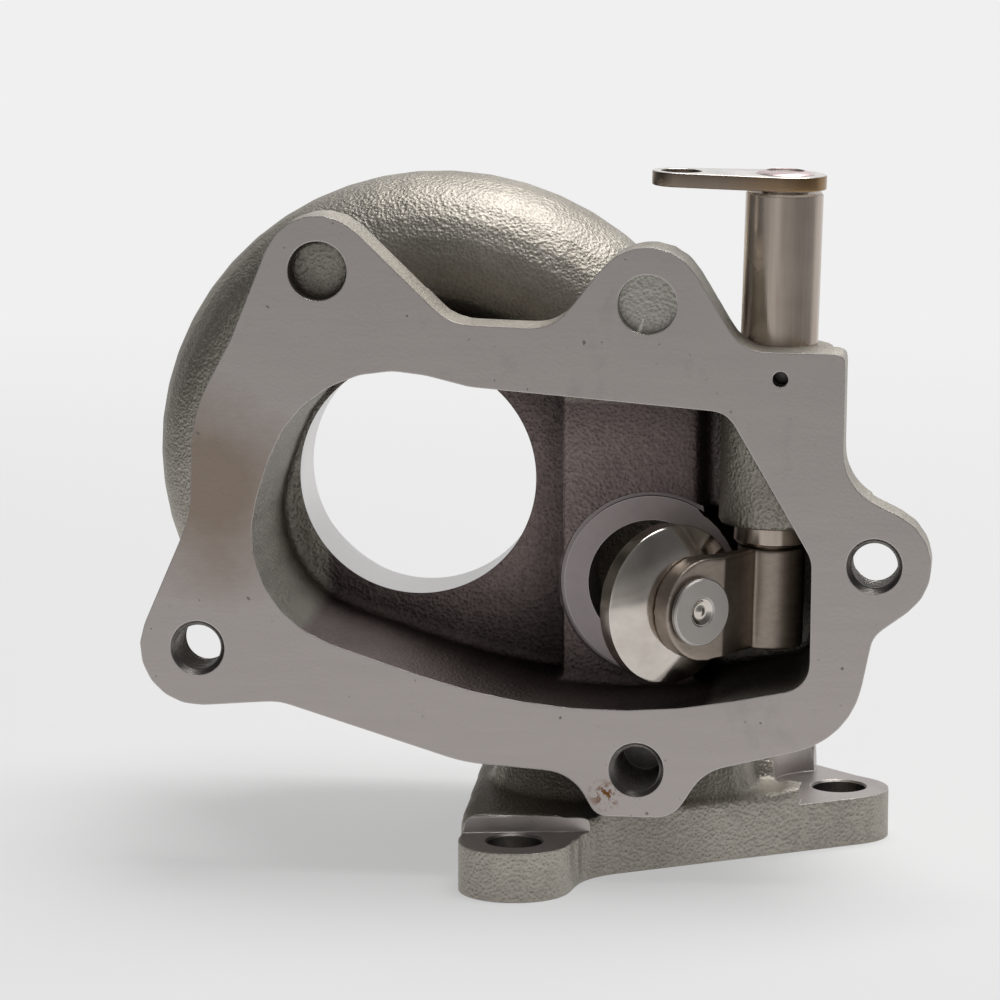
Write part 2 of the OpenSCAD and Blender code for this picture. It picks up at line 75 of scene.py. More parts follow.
class Finish:
    def __init__(self, name, metallic, roughness):
        self.material = bpy.data.materials.new(name)
        self.material.use_nodes = True
        self.tree = self.material.node_tree
        self.shader = self.tree.nodes["Principled BSDF"]
        self.shader.inputs["Metallic"].default_value = metallic
        self.shader.inputs["Roughness"].default_value = roughness
        self.place = Value(self, self.tree.nodes.new("ShaderNodeTexCoord").outputs["Object"])

    def node(self, kind, settings, *values, out=0, **named):
        made = self.tree.nodes.new("ShaderNode" + kind)
        for key, value in settings.items():
            if key == "stops":
                ramp = made.color_ramp
                while len(ramp.elements) < len(value):
                    ramp.elements.new(0.5)
                for element, (spot, colour) in zip(ramp.elements, value):
                    element.position = spot
                    element.color = (*(colour if isinstance(colour, tuple) else (colour,) * 3), 1)
            else:
                setattr(made, key, value)
        for slot, value in list(enumerate(values)) + list(named.items()):
            socket = made.inputs[slot] if isinstance(slot, int) else made.inputs[slot.replace("_", " ")]
            self.fill(socket, value)
        return Value(self, made.outputs[out])

    def vector(self, operation, first, second=(0, 0, 0)):
        out = 1 if operation in ("DOT_PRODUCT", "LENGTH") else 0
        return self.node("VectorMath", {"operation": operation}, first, second, out=out)

    def scaled(self, first, scale):
        return self.node("VectorMath", {"operation": "SCALE"}, first, Scale=scale)

    def fill(self, socket, value):
        if isinstance(value, Value):
            self.tree.links.new(value.socket, socket)
        elif isinstance(value, tuple) and len(value) == 3 and socket.type == "RGBA":
            socket.default_value = (*value, 1)
        else:
            socket.default_value = value

    def noise(self, scale, detail=3.0, rough=0.5, place=None):
        return self.node("TexNoise", {}, place or self.place, Scale=scale, Detail=detail, Roughness=rough)

    def stretched(self, scale):
        return self.node("Mapping", {}, self.place, Scale=scale)

    def ramp(self, value, stops, interpolation="LINEAR"):
        made = self.node("ValToRGB", {"stops": stops}, value)
        made.socket.node.color_ramp.interpolation = interpolation
        return made

    def mixed(self, factor, first, second):
        return self.blended("MIX", factor, first, second)

    def blended(self, kind, factor, first, second):
        made = self.tree.nodes.new("ShaderNodeMix")
        made.data_type = "RGBA"
        made.blend_type = kind
        self.fill(made.inputs["Factor"], factor)
        colourA = [s for s in made.inputs if s.name == "A" and s.type == "RGBA"][0]
        colourB = [s for s in made.inputs if s.name == "B" and s.type == "RGBA"][0]
        self.fill(colourA, first)
        self.fill(colourB, second)
        return Value(self, [s for s in made.outputs if s.type == "RGBA"][0])

    def bumped(self, height, depth, normal=None):
        given = {"Height": height, "Distance": depth}
        if normal is not None:
            given["Normal"] = normal
        return self.node("Bump", {}, **given)

    def edges(self, radius=0.0003):
        # 1 along sharp outer and inner edges, 0 on flat and gently curved faces
        soft = self.node("Bevel", {"samples": 4}, Radius=radius)
        shaded = self.node("NewGeometry", {}, out="Normal")
        return self.ramp(self.vector("DOT_PRODUCT", soft, shaded), [(0.93, 1.0), (0.99, 0.0)])

    def openness(self, reach, shut=0.2):
        # falls from 1 in the open to 0 in corners and hollows
        sky = self.node("AmbientOcclusion", {"samples": 6}, Distance=reach, out="AO")
        return self.ramp(sky, [(shut, 0.0), (0.92, 1.0)])

    def near(self, spot, radius, ragged=0.5):
        # a ragged patch round one place, given in millimetres
        offset = self.vector("SUBTRACT", self.place, tuple(c * mm for c in spot))
        away = self.vector("LENGTH", offset) / (radius * mm)
        rough = (self.noise(1.2 / (radius * mm), 4.0, 0.7) - 0.5) * ragged * 2
        return self.ramp(away + rough, [(0.3, 1.0), (1.0, 0.0)])

    def within(self, low, high, soft=2.0):
        # 1 inside a box given in millimetres, 0 outside it
        inside = 1.0
        for axis in range(3):
            spot = self.node("SeparateXYZ", {}, self.place, out=axis) / mm
            for edge, sign in ((low[axis], 1), (high[axis], -1)):
                inside = ((spot - edge) * (sign / soft)).clamped() * inside
        return inside

    def use(self, **values):
        for key, value in values.items():
            self.fill(self.shader.inputs[key.replace("_", " ")], value)
        return self.material


def darker(colour, share):
    return tuple(share * c for c in colour)


def turnedNormal(f, centre, axis, spread, pitch=0.00006):
    # tilts the normal to and fro along the radius, as the fine grooves of a lathe do
    centre = tuple(c * mm for c in centre)
    offset = f.vector("SUBTRACT", f.place, centre)
    along = f.vector("DOT_PRODUCT", offset, axis)
    radial = f.vector("SUBTRACT", offset, f.scaled(axis, along))
    distance = f.vector("LENGTH", radial)
    groove = f.node("TexNoise", {"noise_dimensions": "1D"}, W=distance / pitch, Scale=1.0, Detail=2.0)
    tilt = f.scaled(f.vector("NORMALIZE", radial), (groove - 0.5) * spread)
    soft = f.node("Bevel", {"samples": 4}, Radius=0.00015)
    return f.vector("NORMALIZE", f.vector("ADD", soft, tilt))


def castSkin(name, pale, dark, inner, roughness=0.5, reach=0.022, grain=1.0):
    # sand-cast skin: small round grains on soft lumps, browner inside the chamber; painted shade darkens its
    # hollows and creases
    f = Finish(name, 1.0, roughness)
    grains = f.node("TexVoronoi", {"feature": "SMOOTH_F1"}, f.place, Scale=1500.0, Smoothness=0.7)
    fine = f.noise(2600, 2.0, 0.6)
    lumps = f.noise(420, 2.0, 0.5)
    patches = f.noise(45, 3.0, 0.6)
    height = grains * 0.5 + fine * 0.3 + lumps * 0.3
    tone = f.ramp(height * 0.35 + patches * 0.65, [(0.34, dark), (0.62, pale)])
    # painted shade: the colour is darkened where the occlusion mask finds little open space round the surface
    unshaded = f.openness(reach)
    # inside this box the skin is browner and the painted shade deeper
    inChamber = f.within(*marks["chamber"])
    scaled = f.ramp(height * 0.5 + patches * 0.5, [(0.34, darker(inner, 0.6)), (0.62, inner)])
    tone = f.mixed(inChamber, tone, scaled)
    # painted shade ramps, multiplied into the colour: mild outside the chamber, much darker inside it
    outerShade = f.ramp(unshaded, [(0.0, 0.5), (0.5, 0.95), (0.8, 1.0)])
    innerShade = f.ramp(unshaded, [(0.0, 0.1), (0.45, 0.42), (0.85, 1.0)])
    shade = f.mixed(inChamber, outerShade, innerShade)
    tone = f.blended("MULTIPLY", 1.0, tone, shade)
    # painted shade in creases, from the mesh's pointiness; ridges come out a little lighter
    corner = f.ramp(f.node("NewGeometry", {}, out="Pointiness"), [(0.43, 0.5), (0.49, 1.0), (0.56, 1.2)])
    tone = f.blended("MULTIPLY", 1.0, tone, corner)
    soft = f.node("Bevel", {"samples": 4}, Radius=0.0005)
    normal = f.bumped(height, 0.00034 * grain, soft)
    gloss = f.ramp(fine, [(0.3, roughness - 0.06), (0.7, roughness + 0.1)])
    return f.use(Base_Color=tone, Roughness=gloss, Normal=normal)


def milledSkin(name, pale, dark, roughness=0.38):
    # flat face cut by a large cutter: faint arcs, soft patches, brown stains, a few pits, and a painted
    # highlight along its edges
    f = Finish(name, 1.0, roughness)
    arcs = f.noise(260, 3.0, 0.6, f.stretched((0.2, 1.0, 1.6)))
    patches = f.noise(22, 4.0, 0.65)
    pits = f.ramp(f.noise(640, 1.0, 0.4), [(0.2, 0.0), (0.25, 1.0)])
    tone = f.ramp(patches * 0.8 + arcs * 0.2, [(0.35, dark), (0.66, pale)])
    stained = f.ramp(f.noise(34, 5.0, 0.7, f.stretched((1.0, 1.0, 0.6))), [(0.6, 0.0), (0.7, 0.4)])
    tone = f.mixed(stained, tone, darker(dark, 0.75))
    tone = f.mixed(f.near(*marks["stain"], 0.4) * 0.8, tone, (0.27, 0.205, 0.155))
    specks = f.near(*marks["rust"]) * f.ramp(f.noise(900, 3.0, 0.7), [(0.48, 0.0), (0.53, 1.0)])
    tone = f.mixed(specks, tone, (0.17, 0.075, 0.025))
    tone = f.mixed(pits, darker(dark, 0.5), tone)
    # painted highlight: sharp edges lightened in colour
    tone = f.mixed(f.edges() * 0.7, tone, (0.85, 0.82, 0.8))
    soft = f.node("Bevel", {"samples": 6}, Radius=0.00035)
    normal = f.bumped(arcs * 0.4 + f.noise(1400, 2.0, 0.6) * 0.6, 0.00004, soft)
    gloss = f.ramp(patches, [(0.3, roughness - 0.05), (0.7, roughness + 0.07)])
    return f.use(Base_Color=tone, Roughness=gloss, Normal=normal)


def turnedSkin(name, pale, dark, centre, axis, roughness=0.3, spread=0.25):
    # lathe-turned steel with fine grooves round an axis
    f = Finish(name, 1.0, roughness)
    patches = f.noise(110, 3.0, 0.6)
    # painted highlight: sharp edges lightened in colour
    tone = f.mixed(f.edges() * 0.8, f.ramp(patches, [(0.32, dark), (0.66, pale)]), (0.9, 0.87, 0.84))
    gloss = f.ramp(patches, [(0.3, roughness - 0.04), (0.7, roughness + 0.08)])
    return f.use(Base_Color=tone, Roughness=gloss, Normal=turnedNormal(f, centre, axis, spread))


def drawnSkin(name, pale, dark, stretch, roughness=0.3, depth=0.00004, edgeHighlight=0.5):
    # steel with fine streaks along its length
    f = Finish(name, 1.0, roughness)
    streaks = f.noise(700, 4.0, 0.65, f.stretched(stretch))
    patches = f.noise(70, 3.0, 0.6)
    tone = f.ramp(streaks * 0.55 + patches * 0.45, [(0.32, dark), (0.66, pale)])
    # painted highlight: sharp edges lightened in colour by this share
    tone = f.mixed(f.edges() * edgeHighlight, tone, (0.8, 0.75, 0.7))
    soft = f.node("Bevel", {"samples": 4}, Radius=0.0002)
    gloss = f.ramp(patches, [(0.3, roughness - 0.05), (0.7, roughness + 0.1)])
    return f.use(Base_Color=tone, Roughness=gloss, Normal=f.bumped(streaks, depth, soft))


def leverSkin(name, pale, dark, side):
    # flat faces painted pale as a painted highlight from the light above, cut sides dark with a brown heat
    # tint toward the shaft
    f = Finish(name, 1.0, 0.26)
    patches = f.noise(120, 3.0, 0.6)
    facing = f.node("SeparateXYZ", {}, f.node("NewGeometry", {}, out="Normal"), out=2)
    flat = f.node("Math", {"operation": "ABSOLUTE"}, facing)
    tint = f.mixed(f.near(*marks["tint"], 0.4), side, (0.3, 0.19, 0.1))
    flatHighlightTone = f.ramp(patches, [(0.35, dark), (0.6, pale)])
    # painted highlight: faces turned up or down take the pale colour, the sides the darker one
    tone = f.mixed(f.ramp(flat, [(0.6, 0.0), (0.95, 1.0)]), tint, flatHighlightTone)
    soft = f.node("Bevel", {"samples": 4}, Radius=0.0002)
    grain = f.noise(900, 3.0, 0.6, f.stretched((0.2, 1.0, 1.0)))
    gloss = f.ramp(patches, [(0.3, 0.2), (0.7, 0.34)])
    return f.use(Base_Color=tone, Roughness=gloss, Normal=f.bumped(grain, 0.00003, soft))


alongY = (0, 1, 0)
alongZ = (0, 0, 1)
lean = math.radians(1.5)  # the shaft leans to the right
openAngle = math.radians(43)  # how far the valve stands open

# centre and axis of what is turned or bored, in millimetres
turbineAt = ((0, 0, 0), alongY)
portAt = ((48.3, 0, -18.5), alongY)
shaftAt = ((72.2, -16.5, 0), (math.sin(lean), 0, math.cos(lean)))
valveAt = ((51.723, -29.392, -18.59), (math.sin(openAngle) * math.cos(lean), -math.cos(openAngle),
                                       -math.sin(openAngle) * math.sin(lean)))
marks = {
    "chamber": ((-19, -60, -42), (62, 6, 19)),  # two corners of the box with the browner skin and deeper painted shade in its hollows
    # places and radii: stain on the outlet face, rust beside the bottom hole, the lever's heat tint
    "stain": ((-36, -33, 3), 24), "rust": ((41, -33, -56.4), 3.6), "tint": ((82, -18, 62), 22),
}
cast = castSkin("castIron", (0.44, 0.41, 0.36), (0.3, 0.275, 0.24), (0.28, 0.224, 0.213))
# painted light: a much paler cast skin with almost no painted shade, for the lit floor of the shallow pocket
paintedLightCast = castSkin("paintedLightCast", (0.95, 0.91, 0.84), (0.75, 0.71, 0.64), (0.7, 0.66, 0.6), 0.4, 0.001, 0.7)
milled = milledSkin("milledFace", (0.5, 0.455, 0.435), (0.43, 0.39, 0.375))
bored = turnedSkin("boredFace", (0.78, 0.765, 0.76), (0.66, 0.645, 0.64), *turbineAt, 0.34, 0.15)
seatSteel = turnedSkin("seatFace", (0.4, 0.35, 0.345), (0.3, 0.262, 0.262), *portAt, 0.42, 0.12)
drilled = drawnSkin("drilledHole", (0.3, 0.28, 0.26), (0.16, 0.145, 0.135), (1.0, 5.0, 1.0), 0.36)
steel = drawnSkin("turnedSteel", (0.56, 0.485, 0.42), (0.42, 0.35, 0.295), (1.0, 1.0, 0.04), 0.2)
discSteel = turnedSkin("valveSteel", (0.68, 0.64, 0.59), (0.54, 0.49, 0.44), *valveAt, 0.11, 0.2)
armSteel = drawnSkin("armSteel", (0.44, 0.375, 0.32), (0.31, 0.26, 0.22), (0.5, 0.5, 1.0), 0.42, 0.00005, 0.7)
washerSteel = turnedSkin("washerSteel", (0.52, 0.49, 0.465), (0.42, 0.39, 0.365), *valveAt, 0.46, 0.1)
leverSteel = leverSkin("leverSteel", (0.9, 0.87, 0.84), (0.78, 0.75, 0.72), (0.25, 0.2, 0.16))
weldSteel = drawnSkin("weldSteel", (0.85, 0.72, 0.72), (0.68, 0.52, 0.53), (1.0, 1.0, 1.0), 0.3)
pinSteel = drawnSkin("pinSteel", (0.18, 0.17, 0.16), (0.1, 0.1, 0.1), (1.0, 1.0, 1.0), 0.4)
print("materials made")


def meshPiece(name, bm, material):
    mesh = bpy.data.meshes.new(name)
    bm.to_mesh(mesh)
    bm.free()
    mesh.materials.append(material)
    piece = bpy.data.objects.new(name, mesh)
    bpy.context.scene.collection.objects.link(piece)
    return piece


def applied(piece, kind, **settings):
    modifier = piece.modifiers.new(kind.lower(), kind)
    for key, value in settings.items():
        setattr(modifier, key, value)
    graph = bpy.context.evaluated_depsgraph_get()
    mesh = bpy.data.meshes.new_from_object(piece.evaluated_get(graph))
    piece.modifiers.clear()
    old = piece.data
    piece.data = mesh
    bpy.data.meshes.remove(old)


def nodeCopy(node):
    bm = bmesh.new()
    bm.from_mesh(nodes[node].data)
    bmesh.ops.remove_doubles(bm, verts=bm.verts, dist=2e-6)
    return bm


def softSkin(piece, spec):
    # one even skin over all that the mesh holds, with its corners rounded
    applied(piece, "REMESH", mode="VOXEL", voxel_size=spec["voxel"] * mm, use_smooth_shade=True)
    applied(piece, "SMOOTH", factor=0.5, iterations=spec["smoothing"])


def repainted(piece, material):
    piece.data.materials.clear()
    piece.data.materials.append(material)


def lathe(bm, outline, centre, axis, steps=96):
    # turns [radius, along] points, in millimetres, round an axis through centre
    centre = Vector(centre) * mm
    axis = Vector(axis).normalized()
    side = axis.orthogonal().normalized()
    ring = [bm.verts.new(centre + side * r * mm + axis * h * mm) for r, h in outline]
    edges = [bm.edges.new(pair) for pair in zip(ring, ring[1:])]
    if outline[0][0] > 0:
        edges.append(bm.edges.new((ring[-1], ring[0])))
    bmesh.ops.spin(bm, geom=ring + edges, cent=centre, axis=axis, angle=math.tau, steps=steps, use_merge=True)
    bmesh.ops.remove_doubles(bm, verts=bm.verts, dist=1e-7)
    bmesh.ops.recalc_face_normals(bm, faces=bm.faces)


def bar(bm, centre, axis, radius, low, high, steps=64):
    lathe(bm, [(0, low), (radius, low), (radius, high), (0, high)], centre, axis, steps)


def block(bm, low, high):
    made = bmesh.ops.create_cube(bm, size=1)
    size = [(high[i] - low[i]) * mm for i in range(3)]
    centre = [(high[i] + low[i]) / 2 * mm for i in range(3)]
    bmesh.ops.scale(bm, vec=size, verts=made["verts"])
    bmesh.ops.translate(bm, vec=centre, verts=made["verts"])


def prism(bm, points, low, high):
    # a straight-sided block over [x, y] points
    corners = [bm.verts.new((x * mm, y * mm, low * mm)) for x, y in points]
    grown = bmesh.ops.extrude_face_region(bm, geom=[bm.faces.new(corners)])
    moved = [v for v in grown["geom"] if isinstance(v, bmesh.types.BMVert)]
    bmesh.ops.translate(bm, vec=(0, 0, (high - low) * mm), verts=moved)
    bmesh.ops.recalc_face_normals(bm, faces=bm.faces)


def cutAway(piece, material, shape, *values):
    # cuts one shape out of the piece, with walls of the given material
    bm = bmesh.new()
    shape(bm, *values)
    cutter = meshPiece("cutter", bm, material)
    applied(piece, "BOOLEAN", operation="DIFFERENCE", object=cutter, solver="MANIFOLD",
            material_mode="TRANSFER")
    bpy.data.objects.remove(cutter)


def creased(piece, degrees=32):
    mesh = piece.data
    mesh.shade_smooth()
    mesh.set_sharp_from_angle(angle=math.radians(degrees))
    return piece


def finished(piece, body, slot, *replaced):
    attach(piece, body)
    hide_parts(*replaced)
    print(piece.name, len(piece.data.polygons))


casting = {
    "voxel": 0.75, "smoothing": 5, "triangles": 150000, "stock": 2.5,
    "face": -33, "foot": -74, "back": 52,  # outlet face, inlet face and clamp face
    "clearTop": -61.2, "clearLug": -57,  # how far down outlet and clamp face are cut
    # exducer bore, shroud, shield bore and bearing register: [radius, along the axis]
    "turned": [(0, -2), (23.8, -2), (23.8, 16.3), (25.4, 18.8), (29, 20.5), (29, 27.5), (31, 27.5),
               (31, 47), (38, 47), (38, 51), (39, 53), (39, 60), (0, 60)],
    "turnedFill": [(0, 0), (25.4, 0), (25.4, 19), (29.6, 20), (29.6, 28), (32, 28), (32, 46),
                   (39.5, 46), (39.5, 54.5), (0, 54.5)],
    # tapped holes in the outlet face: [x, z], depth that is filled, depth that is drilled
    "taps": [((92.6, -10.2), 9.45, 13.45), ((-38.9, -29.3), 12, 16), ((47.1, -51.3), 20, 20)],
    "tapHole": 4.4, "tapMouth": 6.4, "tapFill": 5.7, "pitch": 1.5,
    # straight bores: [skin, centre, axis, radius, low, high]
    "bores": [
        (drilled, *portAt, 12.7, -40, 13.5),
        (milled, (93.6, 0, -10.2), alongY, 12.4, -23.5, -17),  # spot face behind the right lug
        (drilled, (74.27, 0, 25.6), alongY, 1.5, -40, -16.5),  # hole of the bushing's pin
        (drilled, *shaftAt, 7.5, -9.8, 40),
        (drilled, (0, 0, 42), alongY, 2, 46, 60),  # hole of the clocking pin
    ],
    "boreFills": [
        (*portAt, 17.2, -12.6, -4), (*portAt, 13.4, -12.6, 5),
        ((74.27, 0, 25.6), alongY, 2, -35.5, -23),
        (*shaftAt, 8.2, -5, 30.3),
        ((0, 0, 42), alongY, 2.6, 45, 54.5),
    ],
    # inlet flange: bolt holes with the fill round each, and the seats that are cut over the bolts
    "seat": -64.4, "lugTop": -61, "boltHole": 5.4,
    "bolts": [(24.218, -39.538), (84.171, 13.972), (20.661, 41.917)],
    "lugFills": [(24.218, -39.538, 10.95), (84.171, 13.07, 10.1), (20.661, 41.917, 10.95)],
    "roundSeats": [((84.171, 13.972), 14, 22), ((20.661, 41.917), 12.4, 13)],
    "stepSeats": [([(76.6, -12), (79, 40), (102, 40), (102, -12)], 22),
                  ([(5, -36.1), (42, -29.8), (42, -64), (5, -64)], 3.3)],
    "stepFills": [([(74, -4.5), (76, 31), (79, 31), (92.5, 17), (91, 6), (80, -1.5)], -61),
                  ([(14.4, -36.5), (36.5, -36.5), (36, -27), (15.6, -27)], -61.7)],
    # the valve's seat, and the fill that closes the groove round it left of grooveEnd
    "seatCut": [(0, -40), (18.3, -40), (18.3, -10.8), (17.5, -10.8), (17.5, -12), (0, -12)],
    "grooveFill": [(16.6, -12.1), (18.9, -12.1), (18.9, -8.5), (16.6, -8.5)], "grooveEnd": 56.6,
    # the hollow between the port's pad and the shaft's boss is filled so far, seen from above
    "valley": [(56, -12.1), (57.4, -11.6), (58.6, -10), (60, -9.4), (61.6, -10.4), (63.3, -13.6),
               (65.8, -18.6), (68, -22.8), (70.4, -26.1), (72.6, -27.2), (72.6, 2), (56, 2)],
    "valleySpan": (-3.4, 29),
    "padLine": ((30.2, -12.15, 0), alongZ, 0.45, -36, 15.4),  # dark line at the pad's left edge
    "shallowPocket": ((48.8, 0, 39.5), alongY, 5.7, -34, -30.55),  # its grainy floor, painted pale as painted light on it
}


def thread(bm, at, low, high):
    # a V-shaped thread wound round a tapped hole
    pitch, steps = casting["pitch"], 24
    turns = (high - low) / pitch
    centre = Vector((at[0], low, at[1])) * mm
    profile = [(4.2, -0.62), (5.0, -0.12), (5.0, 0.12), (4.2, 0.62)]
    corners = [bm.verts.new(centre + Vector((r, h, 0)) * mm) for r, h in profile]
    loop = [bm.edges.new((corners[i - 1], corners[i])) for i in range(len(corners))]
    bmesh.ops.spin(bm, geom=corners + loop, cent=centre, axis=alongY, angle=math.tau * turns,
                   dvec=Vector((0, pitch / steps, 0)) * mm, steps=int(turns * steps))
    bmesh.ops.holes_fill(bm, edges=[e for e in bm.edges if e.is_boundary], sides=0)
    bmesh.ops.recalc_face_normals(bm, faces=bm.faces)


def stocked(bm):
    # adds machining stock outside the three flat faces
    for axis, spot, sign in ((1, casting["face"], -1), (2, casting["foot"], -1), (1, casting["back"], 1)):
        flat = [face for face in bm.faces if abs(face.normal[axis] - sign) < 1e-3
                and abs(face.calc_center_median()[axis] - spot * mm) < 2e-5]
        grown = bmesh.ops.extrude_face_region(bm, geom=flat)
        moved = [v for v in grown["geom"] if isinstance(v, bmesh.types.BMVert)]
        step = Vector((0, 0, 0))
        step[axis] = sign * casting["stock"] * mm
        bmesh.ops.translate(bm, vec=step, verts=moved)
        bmesh.ops.delete(bm, geom=[f for f in flat if f.is_valid], context="FACES_ONLY")


def plugged(bm):
    # fills what is machined later, so that its edges come out crisp
    spec = casting
    lathe(bm, spec["turnedFill"], *turbineAt)
    for (x, z), depth, _ in spec["taps"]:
        bar(bm, (x, 0, z), alongY, spec["tapFill"], spec["face"] - spec["stock"], spec["face"] + depth)
    for x, y, radius in spec["lugFills"]:
        bar(bm, (x, y, 0), alongZ, radius, spec["foot"] - spec["stock"], spec["lugTop"])
    for outline, top in spec["stepFills"]:
        prism(bm, outline, spec["foot"] + 2, top)
    for fill in spec["boreFills"]:
        bar(bm, *fill)


def grooveFilled(bm):
    # fills the seat's groove on the pad's side only
    ring = bmesh.new()
    lathe(ring, casting["grooveFill"], *portAt)
    bmesh.ops.bisect_plane(ring, geom=ring.verts[:] + ring.edges[:] + ring.faces[:], dist=1e-7,
                           plane_co=(casting["grooveEnd"] * mm, 0, 0), plane_no=(1, 0, 0), clear_outer=True)
    bmesh.ops.holes_fill(ring, edges=[e for e in ring.edges if e.is_boundary], sides=0)
    bmesh.ops.recalc_face_normals(ring, faces=ring.faces)
    mesh = bpy.data.meshes.new("ring")
    ring.to_mesh(mesh)
    ring.free()
    bm.from_mesh(mesh)
    bpy.data.meshes.remove(mesh)


def machined(piece):
    spec = casting
    face, seat = spec["face"], spec["seat"]
    for skin, low, high in ((milled, (-200, -80, spec["clearTop"]), (200, face, 200)),
                            (milled, (-200, -200, -120), (200, 200, spec["foot"])),
                            (bored, (-200, spec["back"], spec["clearLug"]), (200, 120, 200))):
        cutAway(piece, skin, block, low, high)
    cutAway(piece, bored, lathe, spec["turned"], *turbineAt, 160)
    cutAway(piece, seatSteel, lathe, spec["seatCut"], *portAt, 160)
    for skin, *bore in spec["bores"]:
        cutAway(piece, skin, bar, *bore, 96)
    for outline, height in spec["stepSeats"]:
        cutAway(piece, milled, prism, outline, seat, seat + height)
    for (x, y), radius, height in spec["roundSeats"]:
        cutAway(piece, milled, bar, (x, y, 0), alongZ, radius, seat, seat + height, 96)
    hole = spec["boltHole"]
    for x, y in spec["bolts"]:
        outline = [(0, -80), (hole, -80), (hole, seat - 0.4), (hole + 1, seat + 0.6), (0, seat + 0.6)]
        cutAway(piece, drilled, lathe, outline, (x, y, 0), alongZ)
    cutAway(piece, cast, bar, *spec["padLine"], 24)
    cutAway(piece, paintedLightCast, bar, *spec["shallowPocket"], 64)
    hole, mouth = spec["tapHole"], spec["tapMouth"]
    for (x, z), _, depth in spec["taps"]:
        deep = face + depth
        outline = [(0, face - 1), (mouth, face - 1), (hole, face + 1), (hole, deep), (0, deep)]
        cutAway(piece, drilled, lathe, outline, (x, 0, z), alongY, 64)
        cutAway(piece, drilled, thread, (x, z), face - 0.6, deep - 0.8)


def buildCasting():
    spec = casting
    bm = nodeCopy("housing_casting")
    print("open edges in the copy", sum(not e.is_manifold for e in bm.edges))
    stocked(bm)
    plugged(bm)
    grooveFilled(bm)
    prism(bm, spec["valley"], *spec["valleySpan"])
    piece = meshPiece("castingBody", bm, cast)
    softSkin(piece, spec)
    count = 2 * len(piece.data.polygons)
    applied(piece, "DECIMATE", ratio=min(1, spec["triangles"] / count))
    print("rough casting", count, len(piece.data.polygons))
    repainted(piece, cast)
    machined(piece)
    finished(creased(piece), "housing", "casting", "housing_casting")


buildCasting()


def turnedPiece(name, spec, body, slot, node):
    bm = bmesh.new()
    lathe(bm, spec["outline"], *spec["at"], spec["steps"])
    finished(creased(meshPiece(name, bm, spec["material"])), body, slot, node)


def softPiece(name, spec, body, slot, node):
    # a cast piece: the node's own mesh with soft corners
    piece = meshPiece(name, nodeCopy(node), spec["material"])
    softSkin(piece, spec)
    repainted(piece, spec["material"])
    finished(creased(piece, 50), body, slot, node)


def edgedPiece(name, spec, body, slot, node):
    # a cut piece: the node's own mesh with its sharp edges broken
    bm = nodeCopy(node)
    bmesh.ops.dissolve_limit(bm, angle_limit=math.radians(1), verts=bm.verts, edges=bm.edges)
    sharp = [e for e in bm.edges if len(e.link_faces) == 2 and e.calc_face_angle() > math.radians(50)]
    bmesh.ops.bevel(bm, geom=sharp, offset=spec["edge"] * mm, segments=3, profile=0.5, affect="EDGES",
                    material=-1, clamp_overlap=True)
    finished(creased(meshPiece(name, bm, spec["material"])), body, slot, node)


shaftBushing = {
    "material": steel, "at": shaftAt, "steps": 96,
    "outline": [(4.53, -8.4), (4.9, -8.8), (6.9, -8.8), (7.5, -8.2), (7.5, 59.3), (7.1, 59.8),
                (4.9, 59.8), (4.53, 59.4)],
}
turnedPiece("shaftBushing", shaftBushing, "housing", "bushing", "shaft_bushing")

wastegateShaft = {
    "material": steel, "at": shaftAt, "steps": 96,
    "outline": [(0, -29), (4.1, -29), (4.5, -28.6), (4.5, 60.4), (3.7, 60.4), (3.7, 63.1),
                (3.4, 63.6), (0, 63.6)],
}
turnedPiece("wastegateShaft", wastegateShaft, "wastegate", "shaft", "wastegate_shaft")

valveDisc = {
    "material": discSteel, "at": valveAt, "steps": 128,
    "outline": [(0, 0), (15.0, 0), (15.5, 0.5), (15.5, 3.4), (15.1, 3.9), (8.3, 6.3), (3.5, 6.3),
                (3.5, 11.1), (2.6, 11.1), (2.6, 12.3), (2.4, 12.25), (2.1, 12.0), (1.7, 11.75),
                (1.3, 11.7), (0.8, 11.85), (0.35, 12.0), (0, 12.05)],
}
turnedPiece("valveDisc", valveDisc, "valve", "valve", "valve_disc")

valveWasher = {
    "material": washerSteel, "at": valveAt, "steps": 96,
    "outline": [(2.62, 11.1), (6.2, 11.1), (6.6, 11.4), (6.6, 12.2), (6.3, 12.5), (2.9, 12.5),
                (2.62, 12.3)],
}
turnedPiece("valveWasher", valveWasher, "valve", "washer", "valve_washer")

swingArm = {"material": armSteel, "voxel": 0.3, "smoothing": 5}
softPiece("swingArm", swingArm, "wastegate", "arm", "swing_arm")

crankLever = {"material": leverSteel, "edge": 0.3}
edgedPiece("crankLever", crankLever, "wastegate", "lever", "crank_lever")

leverWeld = {"material": weldSteel, "edge": 0.1}
edgedPiece("leverWeld", leverWeld, "wastegate", "weld", "lever_weld")

bushingPin = {"material": pinSteel, "edge": 0.2}
edgedPiece("bushingPin", bushingPin, "housing", "pin", "bushing_pin")

clockingPin = {"material": pinSteel, "edge": 0.3}
edgedPiece("clockingPin", clockingPin, "housing", "pin", "clocking_pin")
print("pieces made")

stage = {
    "azimuth": 7, "elevation": 9.8,
    "frame": 1000, "focal": 4600, "aim": (418, 476),  # pixels: width, focal length, place of the origin
    "distance": 920 * mm, "sensor": 36,
    "floor": (0.72, 0.72, 0.72), "paper": (0.87, 0.87, 0.87),
    "lamp": {"spot": (0.3, 0.2, 1.25), "target": (0.03, 0, 0), "size": (1.0, 1.0), "power": 18},
    # brightness of the room, from behind by the left, the front and the right to behind again
    "room": [(0.0, 0.95), (0.1, 0.8), (0.21, 0.16), (0.28, 0.1), (0.37, 0.4), (0.45, 0.68), (0.54, 0.45),
             (0.67, 0.28), (0.77, 0.34), (0.83, 0.8), (1.0, 0.95)],
    "above": 0.45,  # share of it that is left high up
}


